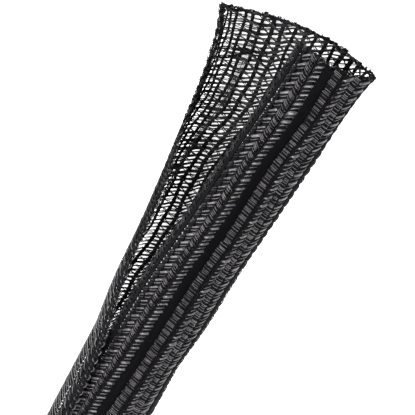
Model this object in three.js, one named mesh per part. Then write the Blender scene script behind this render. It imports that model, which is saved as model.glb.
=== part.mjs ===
// Split braided cable sleeve: one open-edged strip of woven monofilament, rolled into a tube whose long edges overlap
// at the top, with its mouth opened out and flattened at the +X end. Millimetres, +Z up. The sleeve lies along X on
// z = 0, rolled a little towards its heavier side, where it comes to rest. The origin is under its middle.
import * as THREE from 'three';

// Driving dimensions of the stock
const sleeveLength = 304.8;
const tubeDiameter = 12.2;
const wall = 0.9;
const layerGap = 0.35;

// The opened mouth
const mouthWidth = 22;
const mouthHeight = 9.8;
const flareLength = 50;
const flareBulge = 0.25;
const rimCurlWidth = 0.75;
const rimCurlLength = 3;
const mouthSlant = 0.06;
const lipFlare = 0.6;

// The flap's free edge droops into the mouth, by this much at the rim, over this many degrees round the tube
const flapDroop = 5.6;
const droopSpan = 35;

// How far the sleeve has rolled towards +Y, in degrees
const rolledOver = 15;

// Where each long edge of the strip lies round the tube, in degrees from the split's side of the section towards -Y,
// at distances from the mouth in millimetres. The flap is the inner edge and the lip is the outer one, which laps
// over it.
const flapEdge = [
  [0, -4], [7, -7], [18, -15], [30, -26], [36, -36], [42, -48], [50, -59], [62, -72], [90, -85],
];
const lipEdge = [[0, -97], [13, -91], [18, -74], [24, -61], [35, -57], [46, -46], [57, -37], [90, -36]];

// The lip climbs over the flap between these two places round the tube, and only past the mouth
const climbFrom = 200;
const climbTo = 243;
const climbStart = 30;
const climbEnd = 44;

// Fineness of the solid. A level facet of this many degrees runs along underneath.
const stepsRound = 18;
const stepsAlong = 26;
const stationCrowding = 1.4;
const underFacet = 9;

const radius = tubeDiameter / 2;
const roll = THREE.MathUtils.degToRad(rolledOver);
const facetTurn = THREE.MathUtils.degToRad(underFacet / 2);
const settledAt = lipEdge[lipEdge.length - 1][0];

const smooth = (from, to, at) => THREE.MathUtils.smoothstep(at, from, to);

// Value at a distance from the mouth, eased from each point of a list to the next
function alongEdge(points, distance) {
  const next = points.findIndex(([place]) => place >= distance);
  if (next === 0) return points[0][1];
  if (next < 0) return points[points.length - 1][1];
  const before = points[Math.max(next - 2, 0)];
  const [from, to] = [points[next - 1], points[next]];
  const after = points[Math.min(next + 1, points.length - 1)];
  const span = to[0] - from[0];
  const t = (distance - from[0]) / span;
  const slopeIn = next === 1 ? 0 : (to[1] - before[1]) / (to[0] - before[0]);
  const slopeOut = next === points.length - 1 ? 0 : (after[1] - from[1]) / (after[0] - from[0]);
  const [t2, t3] = [t * t, t * t * t];
  return (2 * t3 - 3 * t2 + 1) * from[1] + (t3 - 2 * t2 + t) * span * slopeIn
    + (3 * t2 - 2 * t3) * to[1] + (t3 - t2) * span * slopeOut;
}

// How far the section is opened at a distance from the mouth, from 0 along the closed tube to 1 at the rim
const openness = (distance) => Math.max(1 - distance / flareLength, 0);

// Outer half-width and half-height of the section at a distance from the mouth
function halfSizes(distance) {
  const open = openness(distance);
  const spread = mouthWidth / 2 - radius - rimCurlWidth;
  const curl = rimCurlWidth * Math.exp(-distance / rimCurlLength) * smooth(0, 0.5, open);
  const width = radius + spread * (open + flareBulge * open * (1 - open)) + curl;
  const height = radius - (radius - mouthHeight / 2) * open ** 4;
  return [width, height];
}

// Place round the section that lies lowest, in degrees, and the height of the section's middle above the floor
function lowest([halfWidth, halfHeight]) {
  const [across, down] = [Math.sin(roll) * halfWidth, Math.cos(roll) * halfHeight];
  return [180 + THREE.MathUtils.radToDeg(Math.atan2(across, down)), Math.hypot(across, down) * Math.cos(facetTurn)];
}

// How far the lip has risen over the flap at a distance from the mouth
const lipRise = (distance) => (wall + layerGap) * smooth(climbStart, climbEnd, distance);

// A point of the outer face within its section
function facePoint(distance, angle) {
  const [halfWidth, halfHeight] = halfSizes(distance);
  const rise = lipRise(distance) * smooth(climbFrom, climbTo, angle);
  const nearEdge = Math.max(1 - (angle - alongEdge(flapEdge, distance)) / droopSpan, 0);
  const droop = flapDroop * openness(distance) ** 2 * nearEdge ** 1.5;
  const across = -Math.sin(THREE.MathUtils.degToRad(angle));
  const up = Math.cos(THREE.MathUtils.degToRad(angle));
  const flare = lipFlare * openness(distance) ** 6 * Math.max(across, 0) ** 2;
  return new THREE.Vector2(across * (halfWidth + rise) + flare, up * (halfHeight + rise) - droop);
}

// A point of the wall, with depth 0 at its outer face and 1 at its inner one. The section shifts sideways by half of
// what the lip has risen.
function wallPoint(distance, angle, depth) {
  const [halfWidth, halfHeight] = halfSizes(distance);
  const [, middle] = lowest([halfWidth, halfHeight]);
  const along = facePoint(distance, angle + 1).sub(facePoint(distance, angle - 1)).normalize();
  const inward = new THREE.Vector2(-along.y, along.x);
  const place = facePoint(distance, angle).addScaledVector(inward, depth * wall);
  const setBack = mouthSlant * (mouthWidth / 2 + place.x) * openness(distance);
  place.rotateAround(new THREE.Vector2(), -roll);
  const across = place.x - lipRise(distance) / 2;
  return new THREE.Vector3(sleeveLength / 2 - distance - setBack, across, middle + place.y);
}

// Places round the strip, from the flap's edge to the lip's, with a level facet centred underneath
function anglesRound(distance) {
  const flap = alongEdge(flapEdge, distance);
  const lip = 360 + alongEdge(lipEdge, distance);
  const [under] = lowest(halfSizes(distance));
  const right = under - underFacet / 2;
  const left = under + underFacet / 2;
  const spaced = (from, to) => Array.from({ length: stepsRound }, (_, i) => from + (to - from) * i / (stepsRound - 1));
  return [...spaced(flap, right), ...spaced(left, lip)];
}

// The closed wall: one loop of outer and inner points at each station, joined to the next, with both ends closed
function strip() {
  const stations = [sleeveLength];
  for (let i = 0; i <= stepsAlong; i += 1) {
    stations.push(settledAt * (1 - i / stepsAlong) ** stationCrowding);
  }
  const points = [];
  for (const distance of stations) {
    const angles = anglesRound(distance);
    points.push(...angles.map((angle) => wallPoint(distance, angle, 0)));
    points.push(...angles.reverse().map((angle) => wallPoint(distance, angle, 1)));
  }
  const loop = 4 * stepsRound;
  const faces = [];
  const quad = (a, b, c, d) => faces.push(a, b, c, a, c, d);
  for (let station = 0; station < stations.length - 1; station += 1) {
    for (let i = 0; i < loop; i += 1) {
      const next = (i + 1) % loop;
      const [here, there] = [station * loop, (station + 1) * loop];
      quad(here + i, here + next, there + next, there + i);
    }
  }
  const last = (stations.length - 1) * loop;
  for (let i = 0; i < loop / 2 - 1; i += 1) {
    quad(i + 1, i, loop - 1 - i, loop - 2 - i);
    quad(last + i, last + i + 1, last + loop - 2 - i, last + loop - 1 - i);
  }
  const geometry = new THREE.BufferGeometry().setFromPoints(points);
  geometry.setIndex(faces);
  geometry.computeVertexNormals();
  return geometry;
}

const blackPolyester = new THREE.MeshStandardMaterial({ color: 0x111214, roughness: 0.45, metalness: 0 });

const sleeve = new THREE.Mesh(strip(), blackPolyester);
sleeve.name = 'sleeve';

const group = new THREE.Group();
group.add(sleeve);

export default group;
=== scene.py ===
"""Looks of a split braided cable sleeve: its weave of ribs and strands, laid on the frame's rolled strip."""
import math
from collections import namedtuple

import bpy
import numpy as np
from mathutils import Matrix, Vector


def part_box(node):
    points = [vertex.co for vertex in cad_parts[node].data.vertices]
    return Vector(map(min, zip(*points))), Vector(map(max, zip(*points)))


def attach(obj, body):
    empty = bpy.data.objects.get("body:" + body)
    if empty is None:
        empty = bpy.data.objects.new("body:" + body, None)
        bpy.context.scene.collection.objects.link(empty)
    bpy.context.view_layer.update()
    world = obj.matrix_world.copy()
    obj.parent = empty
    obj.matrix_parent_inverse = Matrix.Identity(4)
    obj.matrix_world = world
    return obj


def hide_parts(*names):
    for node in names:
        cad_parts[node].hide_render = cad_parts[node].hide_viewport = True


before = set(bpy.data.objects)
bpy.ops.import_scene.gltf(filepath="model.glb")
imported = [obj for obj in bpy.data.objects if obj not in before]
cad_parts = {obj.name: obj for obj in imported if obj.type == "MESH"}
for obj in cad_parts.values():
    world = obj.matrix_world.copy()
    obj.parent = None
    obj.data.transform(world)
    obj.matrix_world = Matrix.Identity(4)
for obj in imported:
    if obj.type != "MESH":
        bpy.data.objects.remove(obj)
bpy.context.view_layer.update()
sleeve_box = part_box("sleeve")
random = np.random.default_rng(7)

# The weave is worked out in millimetres, and the scene is in metres
MM = 0.001

# The strip and its mouth as the frame has them, in millimetres, but for the lip, which flares a little more
LENGTH = (sleeve_box[1][0] - sleeve_box[0][0]) / MM
RADIUS = 6.1
WALL = 0.9
LAYER_GAP = 0.35
MOUTH_WIDTH = 22.0
MOUTH_HEIGHT = 9.8
FLARE_LENGTH = 50.0
FLARE_BULGE = 0.25
RIM_CURL_WIDTH = 0.75
RIM_CURL_LENGTH = 3.0
MOUTH_SLANT = 0.06
LIP_FLARE = 1.2
FLAP_DROOP = 5.6
DROOP_SPAN = 35
ROLL = math.radians(15)

# Where each long edge lies round the tube, in degrees, at distances from the mouth
FLAP_EDGE = ((0, -4), (7, -7), (18, -15), (30, -26), (36, -36), (42, -48), (50, -59), (62, -72), (90, -85))
LIP_EDGE = ((0, -97), (13, -91), (18, -74), (24, -61), (35, -57), (46, -46), (57, -37), (90, -36))

# The lip climbs over the flap between two places round the tube, and between two distances from the mouth
CLIMB_ANGLES = (200, 243)
CLIMB_DISTANCES = (30, 44)

# Up to this distance the section changes. It is worked out at this many distances, and in each at this many
# places across the strip.
SHAPED_LENGTH = 92
STATION_COUNT = 185
PLACE_COUNT = 401

# The weave. The ribs' places are on a strip of this width. Yarns repeat along the sleeve at the pitch, and
# the rising ones are shifted from the falling ones by a share of it.
STRIP_WIDTH = 38.3
PITCH = 1.34
CROSSING_SHIFT = 0.55
WEAVE_DEPTH = 0.22
DETAILED_LENGTH = 66.0

# How far a yarn climbs from rib to rib, as a share of the pitch, where yarns are open or closely packed
OPEN_CLIMB = 0.55
CLOSE_CLIMBS = {"rising": 0.55, "falling": 0.3}

# How far the yarns stray along the sleeve where they are open or closely packed, and how uneven they are in
# their places, depths and widths
OPEN_STRAYING = 0.065
CLOSE_STRAYING = 0.015
UNEVEN_PLACE = 0.03
UNEVEN_DEPTH = 0.045
UNEVEN_WIDTH = 0.2

# Near the mouth the flap's columns are spread, by a share of the strip's width
FLAP_SPREAD = 0.025
SPREAD_SHARES = ((0, 0.16), (0.3, 0.7))
SPREAD_DISTANCES = (6, 18)

# The cut rim bulges past the mouth in the middle of the far wall, between these shares of the width
RIM_BULGE = 0.9
RIM_BULGE_SHARES = ((0.4, 0.6), (0.7, 0.97))
RIM_OVERHANG = 0.1

# Distances over which the raised side turns from its inner face to the lip's outer one, and the distance
# near which the lip's strands turn from the darker painted-shade copy of the monofilament to the glossy one
TURN_DISTANCES = (25, 36)
INNER_LENGTH = 34.0
UNEVEN_TURN = 2.5

# On the lip the yarns climb less and stand out further
LIP_CLIMB_LOSS = 0.72
LIP_CLIMB_PLACES = (30, 32)
LIP_LIFT = 0.2
LIP_LIFT_SHARES = (0.74, 0.86)
LIP_LIFT_DISTANCES = (20, 36)

# Along the lip's outermost ribs the yarns lean away from the mouth
LIP_SKEW = 1.5
LIP_SKEW_START = 36.4
LIP_SKEW_WIDTH = 0.6
LIP_SKEW_DISTANCES = (24, 46)

# Inside the mouth the strands are thicker on the far wall and thinner on the raised side. On the lip they are
# thinner again, and more so where they take the darker painted-shade copy of the monofilament.
FAR_WALL_GAIN = 0.2
FAR_WALL_PLACES = (20, 30)
RAISED_SIDE_LOSS = 0.22
RAISED_SIDE_PLACES = (32.5, 35)
LIP_PLACES = (29, 32)
GLOSSY_LIP_SCALE = 0.62
SHADED_LIP_SCALE = 0.35

# The ribs of the raised side are narrower inside the mouth
RAISED_RIB_LOSS = 0.28
RAISED_RIB_PLACES = (31, 35)
RAISED_RIB_DISTANCES = (18, 36)

# Past the detailed length only this many strands of each yarn go on, and they are this much wider
TUBE_STRANDS = 2
TUBE_WIDENING = 1.45

# Rib numbers, counted from the flap's edge: the smooth band's, and those where the strands change between the
# glossy monofilament and its painted-shade copies, at the flap's curled-in edge, at the far wall and at the
# lip
BAND_RIB = 8
EDGE_RIB = 3.3
INNER_RIB = 13.5
LIP_RIB = 26

# A rib has its place from the flap's edge, its width and thickness, the family of yarns on top of it, and how
# closely its yarns are packed, from 0 to 1
Rib = namedtuple("Rib", "place width thickness top closeness")
FLAP_RIBS = (
    Rib(0.16, 0.2, 0.2, "rising", 0.3),
    Rib(0.5, 0.24, 0.2, "falling", 0.3),
    Rib(0.98, 0.68, 0.26, "neither", 0.4),
    Rib(1.85, 0.72, 0.28, "rising", 0.5),
    Rib(2.7, 0.92, 0.28, "rising", 1),
    Rib(3.45, 0.76, 0.28, "falling", 1),
    Rib(4.0, 0.2, 0.32, "neither", 1),
    Rib(4.62, 1.08, 0.28, "rising", 1),
    Rib(5.85, 1.4, 0.36, "neither", 1),
    Rib(7.28, 1.5, 0.28, "falling", 1),
    Rib(8.1, 0.2, 0.32, "neither", 1),
    Rib(8.75, 1.05, 0.28, "rising", 1),
    Rib(9.75, 1.1, 0.28, "falling", 1),
    Rib(11.1, 1.7, 0.28, "rising", 1),
    Rib(12.7, 1.6, 0.28, "neither", 0.6),
)
FAR_RIB_START = 14.15
FAR_RIB_SPACING = 1.46
FAR_RIB_THICKNESS = 0.26
FAR_RIB_WIDTHS = (0.55, 0.46, 0.5, 0.75, 0.7, 0.5, 0.54, 0.46, 0.55, 0.5, 0.6, 0.6, 0.5)
LIP_RIBS = (
    Rib(32.95, 0.6, 0.26, "falling", 0.2),
    Rib(34.1, 0.6, 0.26, "falling", 0.2),
    Rib(35.2, 0.6, 0.26, "falling", 0.2),
    Rib(36.1, 0.5, 0.26, "falling", 0.2),
    Rib(36.72, 0.4, 0.26, "falling", 0.1),
    Rib(37.3, 0.62, 0.3, "neither", 0.2),
    Rib(37.8, 0.3, 0.24, "falling", 0.2),
    Rib(38.1, 0.24, 0.2, "rising", 0.2),
)

# How far out a family's yarns cross a rib, as a share of the weave's depth, by the family on top of the rib
CROSSINGS = {
    "rising": {"rising": 1, "falling": -1, "neither": -1},
    "falling": {"rising": -1, "falling": 1, "neither": -0.8},
}

# A strand has its width and thickness where yarns are open and where they are closely packed, its place
# along the sleeve in both, as a share of the pitch, its steps from rib to rib, and the rib up to which it is
# glossy on the outside of the lip, or 0 where it isn't
Strand = namedtuple("Strand", "open_size close_size offsets steps glossy_to")
STRANDS = {
    "rising": (
        Strand((0.18, 0.14), (0.42, 0.16), (0.0, 0.0), 6, 0),
        Strand((0.13, 0.11), (0.13, 0.12), (0.14, 0.46), 4, 0),
    ),
    "falling": (
        Strand((0.26, 0.19), (0.14, 0.13), (0.0, 0.0), 4, 36),
        Strand((0.22, 0.17), (0.15, 0.14), (0.14, 0.17), 4, 0),
        Strand((0.18, 0.15), (0.13, 0.12), (0.5, 0.35), 4, 31),
        Strand((0.1, 0.1), (0.1, 0.1), (0.62, 0.66), 4, 0),
    ),
}

# Noise scale and bump height, in metres, of the fine grain on a monofilament
GRAIN_SCALE = 6000
GRAIN_HEIGHT = 0.00002


def between(first, last, t):
    """Value from the first at 0 to the last at 1."""
    return first * (1 - t) + last * t


def smooth(start, end, at):
    """Eased step from 0 at start to 1 at end."""
    t = np.clip((at - start) / (end - start), 0, 1)
    return t * t * (3 - 2 * t)


def window(opens, closes, at):
    """1 between two spans and 0 outside them, eased over each span."""
    return smooth(*opens, at) * (1 - smooth(*closes, at))


def along(points, distance):
    """Value at each distance from the mouth, eased from each point of a list to the next."""
    places, values = np.array(points, float).T
    slopes = np.zeros(len(places))
    slopes[1:-1] = (values[2:] - values[:-2]) / (places[2:] - places[:-2])
    near = np.clip(distance, places[0], places[-1])
    i = np.clip(np.searchsorted(places, near) - 1, 0, len(places) - 2)
    span = places[i + 1] - places[i]
    t = (near - places[i]) / span
    start = (2 * t**3 - 3 * t**2 + 1) * values[i] + (t**3 - 2 * t**2 + t) * span * slopes[i]
    end = (3 * t**2 - 2 * t**3) * values[i + 1] + (t**3 - t**2) * span * slopes[i + 1]
    return start + end


def openness(distance):
    """How far the section is opened, from 0 along the closed tube to 1 at the rim."""
    return np.clip(1 - distance / FLARE_LENGTH, 0, 1)


def half_sizes(distance):
    """Outer half-width and half-height of the section at each distance from the mouth."""
    opened = openness(distance)
    spread = MOUTH_WIDTH / 2 - RADIUS - RIM_CURL_WIDTH
    curl = RIM_CURL_WIDTH * np.exp(-np.maximum(distance, 0) / RIM_CURL_LENGTH) * smooth(0, 0.5, opened)
    width = RADIUS + spread * (opened + FLARE_BULGE * opened * (1 - opened)) + curl
    height = RADIUS - (RADIUS - MOUTH_HEIGHT / 2) * opened**4
    return width, height


def lip_rise(distance):
    """How far the lip has risen over the flap at each distance from the mouth."""
    return (WALL + LAYER_GAP) * smooth(*CLIMB_DISTANCES, distance)


def face_points(distance, degrees):
    """Points of the outer face within their sections."""
    width, height = half_sizes(distance)
    opened = openness(distance)
    rise = lip_rise(distance) * smooth(*CLIMB_ANGLES, degrees)
    near_edge = np.maximum(1 - (degrees - along(FLAP_EDGE, distance)) / DROOP_SPAN, 0)
    droop = FLAP_DROOP * opened**2 * near_edge**1.5
    across = -np.sin(np.radians(degrees))
    up = np.cos(np.radians(degrees))
    flare = LIP_FLARE * opened**6 * np.maximum(across, 0)**2
    return np.stack([across * (width + rise) + flare, up * (height + rise) - droop], -1)


def wall_points(distance, degrees, depth):
    """Points of the wall, and the directions out of it. Depth is outwards from the wall's middle."""
    width, height = half_sizes(distance)
    ahead = face_points(distance, degrees + 1) - face_points(distance, degrees - 1)
    normal = np.stack([ahead[..., 1], -ahead[..., 0]], -1)
    normal /= np.linalg.norm(normal, axis=-1, keepdims=True)
    place = face_points(distance, degrees) + normal * (depth - WALL / 2)[..., None]
    middle = np.hypot(np.sin(ROLL) * width, np.cos(ROLL) * height)
    set_back = MOUTH_SLANT * (MOUTH_WIDTH / 2 + place[..., 0]) * openness(distance)
    turn = np.array([[math.cos(ROLL), -math.sin(ROLL)], [math.sin(ROLL), math.cos(ROLL)]])
    place, normal = place @ turn, normal @ turn
    across = place[..., 0] - lip_rise(distance) / 2
    points = np.stack([LENGTH / 2 - distance - set_back, across, middle + place[..., 1]], -1)
    normals = np.stack([np.zeros_like(distance), normal[..., 0], normal[..., 1]], -1)
    return points, normals


class Strip:
    """Places on the strip: a share of its width from the flap's edge, turned into an angle round the tube."""

    def __init__(self):
        self.stations = np.concatenate([np.linspace(0, SHAPED_LENGTH, STATION_COUNT), [LENGTH]])
        self.shares = np.linspace(0, 1, PLACE_COUNT)
        flap = along(FLAP_EDGE, self.stations)[:, None]
        lip = 360 + along(LIP_EDGE, self.stations)[:, None]
        angles = flap + self.shares * (lip - flap)
        distances = np.repeat(self.stations[:, None], PLACE_COUNT, 1)
        points, _ = wall_points(distances, angles, np.zeros(angles.shape))
        steps = np.linalg.norm(np.diff(points, axis=1), axis=-1)
        run = np.concatenate([np.zeros((len(steps), 1)), np.cumsum(steps, 1)], 1)
        self.widths = run[:, -1].copy()
        run /= run[:, -1:]
        spread = FLAP_SPREAD * (1 - smooth(*SPREAD_DISTANCES, self.stations))[:, None]
        goal = self.shares + spread * window(*SPREAD_SHARES, self.shares)
        self.angles = np.stack([np.interp(goal[i], run[i], angles[i]) for i in range(len(run))])

    def stretch(self, distance):
        """How much wider the strip is at each distance than its ribs' places say."""
        return np.interp(distance, self.stations, self.widths) / STRIP_WIDTH

    def place(self, distance, share, depth):
        """Points and outward directions at distances from the mouth and shares of the width. A share just
        outside 0 to 1 runs on past the strip's edge."""
        distance, share, depth = np.broadcast_arrays(distance, share, depth)
        i = np.clip(np.searchsorted(self.stations, distance) - 1, 0, len(self.stations) - 2)
        t = np.clip((distance - self.stations[i]) / (self.stations[i + 1] - self.stations[i]), 0, 1)
        last = PLACE_COUNT - 1
        j = np.clip((share * last).astype(int), 0, last - 1)
        u = share * last - j
        near = between(self.angles[i, j], self.angles[i, j + 1], u)
        far = between(self.angles[i + 1, j], self.angles[i + 1, j + 1], u)
        lift = LIP_LIFT * smooth(*LIP_LIFT_SHARES, share) * smooth(*LIP_LIFT_DISTANCES, distance)
        return wall_points(distance, between(near, far, t), depth + lift)


def rib_table():
    """Every rib, from the flap to the lip. Those of the far wall are evenly spaced."""
    far_ribs = []
    for i, width in enumerate(FAR_RIB_WIDTHS):
        top = "rising" if i % 2 == 0 and i < len(FAR_RIB_WIDTHS) - 2 else "falling"
        far_ribs.append(Rib(FAR_RIB_START + FAR_RIB_SPACING * i, width, FAR_RIB_THICKNESS, top, 0.0))
    return [*FLAP_RIBS, *far_ribs, *LIP_RIBS]


strip = Strip()
ribs = rib_table()
rib_numbers = np.arange(len(ribs))
rib_shares = np.array([rib.place for rib in ribs]) / STRIP_WIDTH


def eased(values, at):
    """Eased value between the ribs' values, at rib numbers that may fall between two ribs."""
    i = np.clip(np.floor(at).astype(int), 0, len(values) - 2)
    return between(values[i], values[i + 1], smooth(0.12, 0.88, at - i))


def tube_mesh(name, points, normals, widths, thicknesses, sides, material, inside=None):
    """One piece of many tubes. points is (tubes, rings, 3) in millimetres. A ring is widths across and
    thicknesses along the outward directions. Where inside is given, rings that aren't inside are left out."""
    tubes, rings = points.shape[:2]
    if inside is None:
        inside = np.ones((tubes, rings), bool)
    tangents = np.gradient(points, axis=1)
    tangents /= np.maximum(np.linalg.norm(tangents, axis=-1, keepdims=True), 1e-9)
    across = np.cross(tangents, normals)
    across /= np.maximum(np.linalg.norm(across, axis=-1, keepdims=True), 1e-9)
    out = np.cross(across, tangents)
    turns = np.linspace(0, 2 * math.pi, sides, endpoint=False) + math.pi / sides
    ring = (across[:, :, None] * np.cos(turns)[:, None] * widths[:, :, None, None]
            + out[:, :, None] * np.sin(turns)[:, None] * thicknesses[:, :, None, None]) / 2
    corners = points[:, :, None] + ring
    ids = np.arange(tubes * rings * sides).reshape(tubes, rings, sides)
    joined = inside[:, 1:] & inside[:, :-1]
    here, there = ids[:, :-1][joined], ids[:, 1:][joined]
    quads = np.stack([here, np.roll(here, -1, 1), np.roll(there, -1, 1), there], -1).reshape(-1, 4)
    first = joined & ~np.pad(joined, ((0, 0), (1, 0)))[:, :-1]
    final = joined & ~np.pad(joined, ((0, 0), (0, 1)))[:, 1:]
    caps = [ids[:, :-1][first][:, ::-1], ids[:, 1:][final]]
    return mesh_piece(name, corners.reshape(-1, 3), quads, caps, material)


def mesh_piece(name, corners, quads, caps, material):
    """A smooth piece from corner points in millimetres, quads, and end faces of any number of sides."""
    faces = [quads] + [cap for cap in caps if len(cap)]
    used = np.unique(np.concatenate([face.ravel() for face in faces]))
    number = np.zeros(len(corners), int)
    number[used] = np.arange(len(used))
    loops = np.concatenate([number[face].ravel() for face in faces]).astype(np.int32)
    sizes = np.concatenate([np.full(len(face), face.shape[1]) for face in faces])
    starts = np.concatenate([[0], np.cumsum(sizes)[:-1]]).astype(np.int32)
    mesh = bpy.data.meshes.new(name)
    mesh.vertices.add(len(used))
    mesh.vertices.foreach_set("co", (corners[used] * MM).astype(np.float32).ravel())
    mesh.loops.add(len(loops))
    mesh.loops.foreach_set("vertex_index", loops)
    mesh.polygons.add(len(sizes))
    mesh.polygons.foreach_set("loop_start", starts)
    mesh.update(calc_edges=True)
    mesh.validate()
    mesh.shade_smooth()
    mesh.materials.append(material)
    piece = bpy.data.objects.new(name, mesh)
    bpy.context.collection.objects.link(piece)
    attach(piece, "root")
    return piece


def new_material(name, base, roughness, specular):
    """A Principled material with even values, and its nodes, links and shader."""
    material = bpy.data.materials.new(name)
    material.use_nodes = True
    nodes = material.node_tree.nodes
    shader = nodes["Principled BSDF"]
    shader.inputs["Base Color"].default_value = (*base, 1)
    shader.inputs["Roughness"].default_value = roughness
    shader.inputs["Specular IOR Level"].default_value = specular
    return material, nodes, material.node_tree.links, shader


def noise(nodes, links, scale, detail, stretch_along=1):
    """Noise over object coordinates, in metres, whose scale is multiplied by a factor along the sleeve."""
    place = nodes.new("ShaderNodeTexCoord")
    mapping = nodes.new("ShaderNodeMapping")
    mapping.inputs["Scale"].default_value = (stretch_along, 1, 1)
    texture = nodes.new("ShaderNodeTexNoise")
    texture.inputs["Scale"].default_value = scale
    texture.inputs["Detail"].default_value = detail
    links.new(place.outputs["Object"], mapping.inputs["Vector"])
    links.new(mapping.outputs["Vector"], texture.inputs["Vector"])
    return texture.outputs["Fac"]


def colour_by(nodes, links, shader, value, stops):
    """Base colour from a ramp over a value, with (place, colour) stops."""
    node = nodes.new("ShaderNodeValToRGB")
    elements = node.color_ramp.elements
    for i, (place, colour) in enumerate(stops):
        element = elements[i] if i < len(elements) else elements.new(place)
        element.position = place
        element.color = (*colour, 1)
    links.new(value, node.inputs["Fac"])
    links.new(node.outputs["Color"], shader.inputs["Base Color"])


def bump_by(nodes, links, shader, value, strength, height):
    """Bump from a value, with its height in metres."""
    node = nodes.new("ShaderNodeBump")
    node.inputs["Strength"].default_value = strength
    node.inputs["Distance"].default_value = height
    links.new(value, node.inputs["Height"])
    links.new(node.outputs["Normal"], shader.inputs["Normal"])


def monofilament(name, base, roughness, specular, patch_scale, stops, grain):
    """Extruded monofilament, with patches of wear in the colours of the stops, and a fine grain."""
    material, nodes, links, shader = new_material(name, base, roughness, specular)
    colour_by(nodes, links, shader, noise(nodes, links, patch_scale, 3), stops)
    bump_by(nodes, links, shader, noise(nodes, links, GRAIN_SCALE, 2), grain, GRAIN_HEIGHT)
    return material


def fibre_bundle(name, base, roughness, specular, fibres, stops, relief):
    """Bundle of fine fibres along the rib. fibres is their noise's scale, detail and stretch along the
    sleeve, and relief is their bump's strength and height."""
    material, nodes, links, shader = new_material(name, base, roughness, specular)
    value = noise(nodes, links, *fibres)
    colour_by(nodes, links, shader, value, stops)
    bump_by(nodes, links, shader, value, *relief)
    return material


def glossy_material():
    """Glossy monofilament, black with greyer stretches at random; its grey is lifted above the filament's own
    black, a painted highlight that brightens its dashes.
    """
    stops = ((0.3, (0.02, 0.02, 0.024)), (0.5, (0.07, 0.066, 0.075)), (0.7, (0.125, 0.117, 0.107)))
    return monofilament("glossy_monofilament", (0.06, 0.06, 0.063), 0.28, 0.7, 900, stops, 0.15)


def shaded_copy_material(name, light, specular):
    """Darker, duller copy of the monofilament, painted shade where strands read dark, from nearly black to a
    light value.
    """
    stops = ((0.35, (0.009, 0.009, 0.01)), (0.7, (light, light * 0.97, light * 1.03)))
    return monofilament(name, (0.006, 0.006, 0.007), 0.5, specular, 700, stops, 0.2)


def multifilament_material():
    """Matt bundle of fine fibres."""
    base = (0.004, 0.004, 0.0045)
    stops = ((0.35, (0.003, 0.003, 0.0036)), (0.7, (0.013, 0.0124, 0.0138)))
    return fibre_bundle("matt_multifilament", base, 0.75, 0.02, (14000, 3, 0.04), stops, (0.5, 0.00004))


def band_material():
    """Smooth flat band of close fibres with a faint sheen."""
    base = (0.004, 0.004, 0.005)
    stops = ((0.35, (0.0012, 0.0012, 0.0016)), (0.7, (0.0034, 0.0032, 0.0042)))
    return fibre_bundle("smooth_band", base, 0.7, 0.03, (9000, 2, 0.02), stops, (0.3, 0.00003))


def rim(share):
    """Distance at which the cut rim lies, a little past the mouth."""
    return -RIM_BULGE * window(*RIM_BULGE_SHARES, share) - RIM_OVERHANG


def build_ribs(name, numbers, start, end, rings_each_pitch, sides, material):
    """Ribs over one stretch of the sleeve. Each swells a little between the yarns that cross it, and those
    past the flap wander a little across the strip."""
    uneven_cut, swelling, sway = 0.15, 0.1, 0.03
    wandering, wandering_from = 0.0028, 0.36
    numbers = np.array(numbers)[:, None]
    share = rib_shares[numbers]
    rings = int((end - start) / PITCH * rings_each_pitch) + 1
    fray = random.normal(0, uneven_cut, numbers.shape)
    first = rim(share) + fray if start == 0 else start
    distance = first + (end - first) * np.linspace(0, 1, rings)
    phase = 2 * math.pi * (distance / PITCH + numbers / 2)
    wander = wandering * np.sin(distance * 0.9 + numbers * 2.3) * (share > wandering_from)
    points, normals = strip.place(distance, share + wander, sway * np.sin(phase))
    swell = (1 + swelling * np.cos(phase)) * strip.stretch(distance)
    raised = smooth(*RAISED_RIB_PLACES, share * STRIP_WIDTH) * (1 - smooth(*RAISED_RIB_DISTANCES, distance))
    widths = np.array([rib.width for rib in ribs])[numbers] * swell * (1 - RAISED_RIB_LOSS * raised)
    thicknesses = np.array([rib.thickness for rib in ribs])[numbers] * swell
    return tube_mesh(name, points, normals, widths, thicknesses, sides, material)


def yarn_climb(family, closeness, place, steps):
    """How far along the sleeve a yarn of a family has moved, at each step across it from the flap's edge."""
    slope = between(OPEN_CLIMB, CLOSE_CLIMBS[family], closeness)
    slope = slope * (1 - LIP_CLIMB_LOSS * smooth(*LIP_CLIMB_PLACES, place))
    return np.concatenate([[0], np.cumsum((slope[1:] + slope[:-1]) / 2 / steps)]) * PITCH


def yarn_starts(family, climb, start, end):
    """Distances at which the yarns that reach one stretch of the sleeve leave the flap's edge."""
    low = start - (climb[-1] if family == "falling" else 0) - 2 * PITCH
    high = end + (climb[-1] if family == "rising" else 0)
    return np.arange(math.floor(low / PITCH), math.ceil(high / PITCH) + 1)[:, None] * PITCH


def uneven_by_rib(amount, starts, at):
    """Random value of each yarn at each rib, which lasts halfway to the next rib."""
    return random.normal(0, amount, (len(starts), len(ribs)))[:, np.round(at).astype(int)]


def strand_distances(family, strand, starts, climb, at, closeness, place):
    """Distances from the mouth of one strand of every yarn, at each step across the strip. From the flap's
    edge to the lip's, a falling yarn moves away from the mouth and a rising one towards it."""
    sign, shift = (1, 0) if family == "falling" else (-1, CROSSING_SHIFT * PITCH)
    distance = starts + shift + sign * climb + between(*strand.offsets, closeness) * PITCH
    straying = between(OPEN_STRAYING, CLOSE_STRAYING, closeness)
    distance += random.normal(0, UNEVEN_PLACE, starts.shape) + straying * np.sin(at * 1.9 + starts * 0.83)
    distance += straying * uneven_by_rib(0.5, starts, at)
    past = np.clip(place - LIP_SKEW_START, 0, LIP_SKEW_WIDTH)
    return distance + LIP_SKEW * past * smooth(*LIP_SKEW_DISTANCES, distance)


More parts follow.
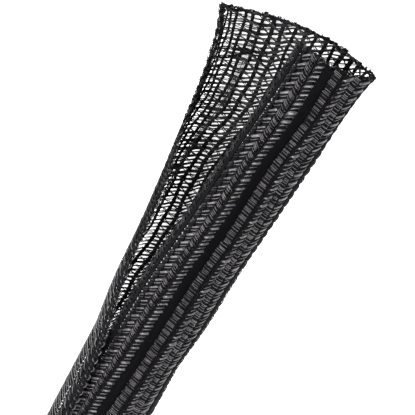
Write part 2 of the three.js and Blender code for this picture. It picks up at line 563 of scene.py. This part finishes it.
def strand_scale(strand, distance, place):
    """Factor on a strand's width and thickness, by where it runs."""
    turned = smooth(*TURN_DISTANCES, distance)
    gain = FAR_WALL_GAIN * smooth(*FAR_WALL_PLACES, place)
    loss = RAISED_SIDE_LOSS * smooth(*RAISED_SIDE_PLACES, place)
    lip_scale = GLOSSY_LIP_SCALE if strand.glossy_to else SHADED_LIP_SCALE
    on_lip = smooth(*LIP_PLACES, place) * turned
    return (1 + (gain - loss) * (1 - turned)) * (1 + (lip_scale - 1) * on_lip)


def strand_zones(strand, distance, at, materials):
    """Name, extent and material of each zone of a strand. It takes darker painted-shade copies of the glossy
    monofilament at the flap's curled-in edge, on the far wall and inside the raised side, and the glossy one
    on the flap and up to a rib on the lip."""
    overlap = 0.3
    turned_out = distance - INNER_LENGTH - random.normal(0, UNEVEN_TURN, (len(distance), 1))
    on_lip = at >= LIP_RIB
    return (
        ("_flap", (at >= EDGE_RIB) & (at <= INNER_RIB), materials["glossy"]),
        ("_edge", at <= EDGE_RIB, materials["worn"]),
        ("_far", (at >= INNER_RIB) & (at <= LIP_RIB), materials["dull"]),
        ("_lip", on_lip & (at <= strand.glossy_to) & (turned_out >= 0), materials["glossy"]),
        ("_lip_hidden", on_lip & ((at >= strand.glossy_to) | (turned_out <= overlap)), materials["dull"]),
    )


def build_strand(name, family, strand, start, end, steps, sides, materials):
    """One strand of every yarn of a family, over one stretch of the sleeve, as a piece for each zone."""
    at = np.linspace(0, len(ribs) - 1, (len(ribs) - 1) * steps + 1)
    closeness = np.interp(at, rib_numbers, [rib.closeness for rib in ribs])
    share = np.interp(at, rib_numbers, rib_shares)
    place = share * STRIP_WIDTH
    climb = yarn_climb(family, closeness, place, steps)
    starts = yarn_starts(family, climb, start, end)
    distance = strand_distances(family, strand, starts, climb, at, closeness, place)
    crossings = np.array([CROSSINGS[family][rib.top] for rib in ribs]) * WEAVE_DEPTH
    depth = eased(crossings, at) + uneven_by_rib(UNEVEN_DEPTH, starts, at) * closeness
    scale = (1 + uneven_by_rib(UNEVEN_WIDTH, starts, at)) * strand_scale(strand, distance, place)
    widths, thicknesses = (
        between(open_size, close_size, closeness) * scale
        for open_size, close_size in zip(strand.open_size, strand.close_size)
    )
    if start > 0:
        widths = widths * TUBE_WIDENING
    points, normals = strip.place(distance, share, depth)
    near = rim(share) if start == 0 else start
    inside = (distance >= near) & (distance <= end)
    return [
        tube_mesh(name + zone, points, normals, widths, thicknesses, sides, material, inside & part)
        for zone, part, material in strand_zones(strand, distance, at, materials)
        if (inside & part).any()
    ]


def build_threads(name, distance, share, depth, width, sides, material):
    """Round threads along paths, each a row of distances, shares and depths."""
    points, normals = strip.place(distance, share, depth)
    widths = np.full(points.shape[:2], width)
    return tube_mesh(name, points, normals, widths, widths, sides, material)


def build_rim_binding(material):
    """Cut yarns drawn together along the rim, as wavy threads from the flap's edge to the lip's."""
    count, rings, rings_each_kink = 5, 420, 4
    wavelength, inset, unevenness, relief = 1.4, 0.05, 0.06, 0.14
    row = np.arange(count)[:, None]
    share = np.linspace(0.003, 0.997, rings)
    wave = np.sin(share * STRIP_WIDTH / wavelength * 2 * math.pi + row * 2.1) + np.sin(share * 91 + row * 1.3)
    kinks = random.normal(0, 1, (count, rings // rings_each_kink + 1))
    kinks = np.repeat(kinks, rings_each_kink, 1)[:, :rings]
    on_flap = 1 - smooth(0.28, 0.36, share)
    spacing = between(0.055, 0.255, on_flap)
    waviness = between(0.07, 0.13, on_flap)
    distance = rim(share) + inset + row * spacing + waviness * wave + unevenness * kinks
    depth = relief * np.sin(share * 133 + row * 1.9)
    return build_threads("rim_binding", distance, share, depth, 0.18, 5, material)


def build_frayed_ends(material):
    """Short ends of filament that stand out past the rim."""
    count, rings = 110, 5
    rooted, buried, sideways, outwards = 0.35, 0.3, 0.006, 0.3
    one_each = (count, 1)
    reach = np.linspace(0, 1, rings)
    root = np.sort(random.uniform(0, 1, one_each), 0)
    length = random.uniform(0.05, 0.35, one_each)
    distance = rim(root) + rooted - (length + buried) * reach
    share = root + random.normal(0, sideways, one_each) * reach**2
    depth = random.uniform(-0.2, 0.2, one_each) + random.normal(0, outwards, one_each) * reach**2
    return build_threads("frayed_ends", distance, share, depth, 0.16, 4, material)


def build_selvedge_loops(flap_material, lip_material):
    """Yarns that turn back round both edges of the strip, and one loop that has come loose from the lip's."""
    width, sides = 0.13, 4
    swing, reach, relief, inset, lip_stretch = 0.26, 0.006, 0.12, 0.004, 1.4
    turn = np.linspace(-math.pi / 2, math.pi / 2, 9)
    middle = (np.arange(int(DETAILED_LENGTH / PITCH)) + 0.3)[:, None] * PITCH
    bulge = reach * np.cos(turn)
    sweep = swing * np.sin(turn)
    depth = relief * np.sin(turn * 2)
    flap_distance, flap_share = middle + sweep, inset - bulge
    lip_distance, lip_share = middle + lip_stretch * sweep, 1 - inset + bulge
    flap = build_threads("flap_loops", flap_distance, flap_share, depth, width, sides, flap_material)
    lip = build_threads("lip_loops", lip_distance, lip_share, depth, width, sides, lip_material)
    loose_turn = np.linspace(-math.pi / 2, math.pi / 2, 15)[None]
    loose_distance = 6.4 + 1.1 * np.sin(loose_turn)
    loose_share = 0.995 + 0.019 * np.cos(loose_turn)
    loose_depth = 0.1 * np.cos(loose_turn)
    loop = build_threads("loose_loop", loose_distance, loose_share, loose_depth, 0.12, 6, lip_material)
    return [flap, lip, loop]


def build_stray_fibres(material):
    """Fine fibres that lie along a wide column on the inner face of the raised side."""
    count, rings = 13, 60
    first, last, first_place, last_place = 6, 32, 31.85, 32.75
    one_each = (count, 1)
    distance = np.linspace(first, last, rings) + random.uniform(-3, 3, one_each)
    place = random.uniform(first_place, last_place, one_each)
    place = place + 0.12 * np.sin(distance * 0.7 + np.arange(count)[:, None])
    depth = -0.24 - 0.05 * random.uniform(0, 1, one_each)
    return build_threads("stray_fibres", distance, place / STRIP_WIDTH, depth, 0.06, 4, material)


def build_loose_yarn(material):
    """A thicker cut yarn that lies across a few ribs inside the mouth."""
    reach = np.linspace(0, 1, 40)[None]
    place = 36.2 - 5.2 * reach + 0.15 * np.sin(reach * 9)
    distance = 6.9 - 1.9 * reach + 0.25 * np.sin(reach * 7)
    depth = -0.42 + 0.08 * np.sin(reach * 17)
    return build_threads("loose_yarn", distance, place / STRIP_WIDTH, depth, 0.3, 8, material)


def build_backing(material):
    """Flat ribs behind the gaps between the flap's close columns, with their rings closer near the mouth."""
    first_rib, rings, crowding = 3, 180, 1.6
    near_inset, far_inset, depth = 0.3, 0.2, -0.26
    width, thickness = 0.85, 0.16
    starts = np.array([rib.place - rib.width / 2 for rib in ribs])
    ends = np.array([rib.place + rib.width / 2 for rib in ribs])
    numbers = np.arange(first_rib, len(FLAP_RIBS))[:, None]
    share = (ends[numbers] + starts[numbers + 1]) / 2 / STRIP_WIDTH
    reach = np.linspace(near_inset, LENGTH - far_inset, rings) / LENGTH
    distance = near_inset + (LENGTH - near_inset - far_inset) * reach**crowding
    points, normals = strip.place(distance, share, depth)
    widths = np.full(points.shape[:2], width)
    thicknesses = np.full(points.shape[:2], thickness)
    return tube_mesh("backing_ribs", points, normals, widths, thicknesses, 4, material)


def build_weave():
    """The whole weave, finer near the mouth than along the rest."""
    glossy = glossy_material()
    multifilament = multifilament_material()
    band = band_material()
    # A darker, duller copy of the monofilament: painted shade for strands that read dark, on the far wall and
    # inner faces
    dull = shaded_copy_material("dull_monofilament", 0.045, 0.08)
    # Another darker copy of the monofilament: painted shade of the flap's curled-in edge
    worn = shaded_copy_material("worn_monofilament", 0.05, 0.12)
    finishes = {"glossy": glossy, "dull": dull, "worn": worn}
    plain = [number for number in rib_numbers if number != BAND_RIB]
    mouth, tube = (0.0, DETAILED_LENGTH), (DETAILED_LENGTH, LENGTH)
    pieces = [
        build_ribs("ribs_mouth", plain, *mouth, 4, 8, multifilament),
        build_ribs("ribs_tube", plain, *tube, 1, 6, multifilament),
        build_ribs("smooth_band", [BAND_RIB], 0.0, LENGTH, 2, 10, band),
    ]
    for family, strands in STRANDS.items():
        for i, strand in enumerate(strands, 1):
            name = f"{family}_strand_{i}"
            pieces += build_strand(f"{name}_mouth", family, strand, *mouth, strand.steps, 4, finishes)
            if i <= TUBE_STRANDS:
                pieces += build_strand(f"{name}_tube", family, strand, *tube, 2, 3, finishes)
    pieces.append(build_rim_binding(multifilament))
    # The frayed ends, the stray fibres and the flap's selvedge loops take the painted-shade copy of the
    # monofilament
    pieces.append(build_frayed_ends(dull))
    pieces.append(build_stray_fibres(dull))
    pieces.append(build_loose_yarn(multifilament))
    pieces.append(build_backing(multifilament))
    return pieces + build_selvedge_loops(dull, glossy)


def build_floor():
    """Pale floor, just under the sleeve."""
    size, clearance = 4, 0.00005
    bpy.ops.mesh.primitive_plane_add(size=size, location=(0, 0, -clearance))
    floor = bpy.context.object
    floor.name = "floor"
    material, _, _, shader = new_material("pale_floor", (0.9, 0.9, 0.9), 0.9, 0.0)
    shader.inputs["Emission Color"].default_value = (1, 1, 1, 1)
    shader.inputs["Emission Strength"].default_value = 0.8
    floor.data.materials.append(material)


def build_lights():
    """Soft light, mostly from the left of the view, aimed a little way in from the mouth."""
    world = bpy.data.worlds.new("studio")
    world.use_nodes = True
    background = world.node_tree.nodes["Background"]
    background.inputs["Color"].default_value = (1, 1, 1, 1)
    background.inputs["Strength"].default_value = 0.12
    bpy.context.scene.world = world
    aimed_at = np.array([LENGTH / 2 - 30, 0, 6]) * MM
    for name, offset, size, power in (
        ("left_softbox", (-0.1, 0.8, 0.7), 0.7, 20.0),
        ("right_softbox", (0.3, -0.9, 0.6), 0.5, 8.0),
        ("top_softbox", (-0.7, 0.1, 0.9), 0.5, 8.0),
    ):
        light = bpy.data.lights.new(name, "AREA")
        light.size = size
        light.energy = power
        lamp = bpy.data.objects.new(name, light)
        lamp.location = Vector(aimed_at + np.array(offset))
        lamp.rotation_euler = Vector(offset).to_track_quat("Z", "Y").to_euler()
        bpy.context.collection.objects.link(lamp)


def build_camera():
    """Camera above the mouth, leaning from the open end. The sleeve runs to the frame's lower left."""
    tilt, turn = math.radians(22), math.radians(28.5)
    reach = 220
    sideways = 0.6
    target = np.array([LENGTH / 2 - 26.7, 0.0, 6.1])
    pixels_each_mm = 7.4
    frame_pixels = 415
    sensor_width = 36
    back = np.array([math.sin(tilt), 0, math.cos(tilt)])
    upright = np.array([math.cos(tilt), 0, -math.sin(tilt)])
    right = np.array([0, -1, 0])
    rolled = np.array([[1, 0, 0], [0, math.cos(ROLL), math.sin(ROLL)], [0, -math.sin(ROLL), math.cos(ROLL)]])
    back, upright, right = (rolled @ axis for axis in (back, upright, right))
    up = math.cos(turn) * upright - math.sin(turn) * right
    side = math.cos(turn) * right + math.sin(turn) * upright
    data = bpy.data.cameras.new("camera")
    data.sensor_width = sensor_width
    data.lens = sensor_width * pixels_each_mm * reach / frame_pixels
    data.clip_start = 0.01
    camera = bpy.data.objects.new("camera", data)
    place = (target - sideways * right + reach * back) * MM
    camera.matrix_world = Matrix.Translation(Vector(place)) @ Matrix((side, up, back)).transposed().to_4x4()
    bpy.context.collection.objects.link(camera)
    bpy.context.scene.camera = camera


build_camera()
pieces = build_weave()
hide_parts("sleeve")
build_floor()
build_lights()
bpy.context.scene.view_settings.view_transform = "Standard"
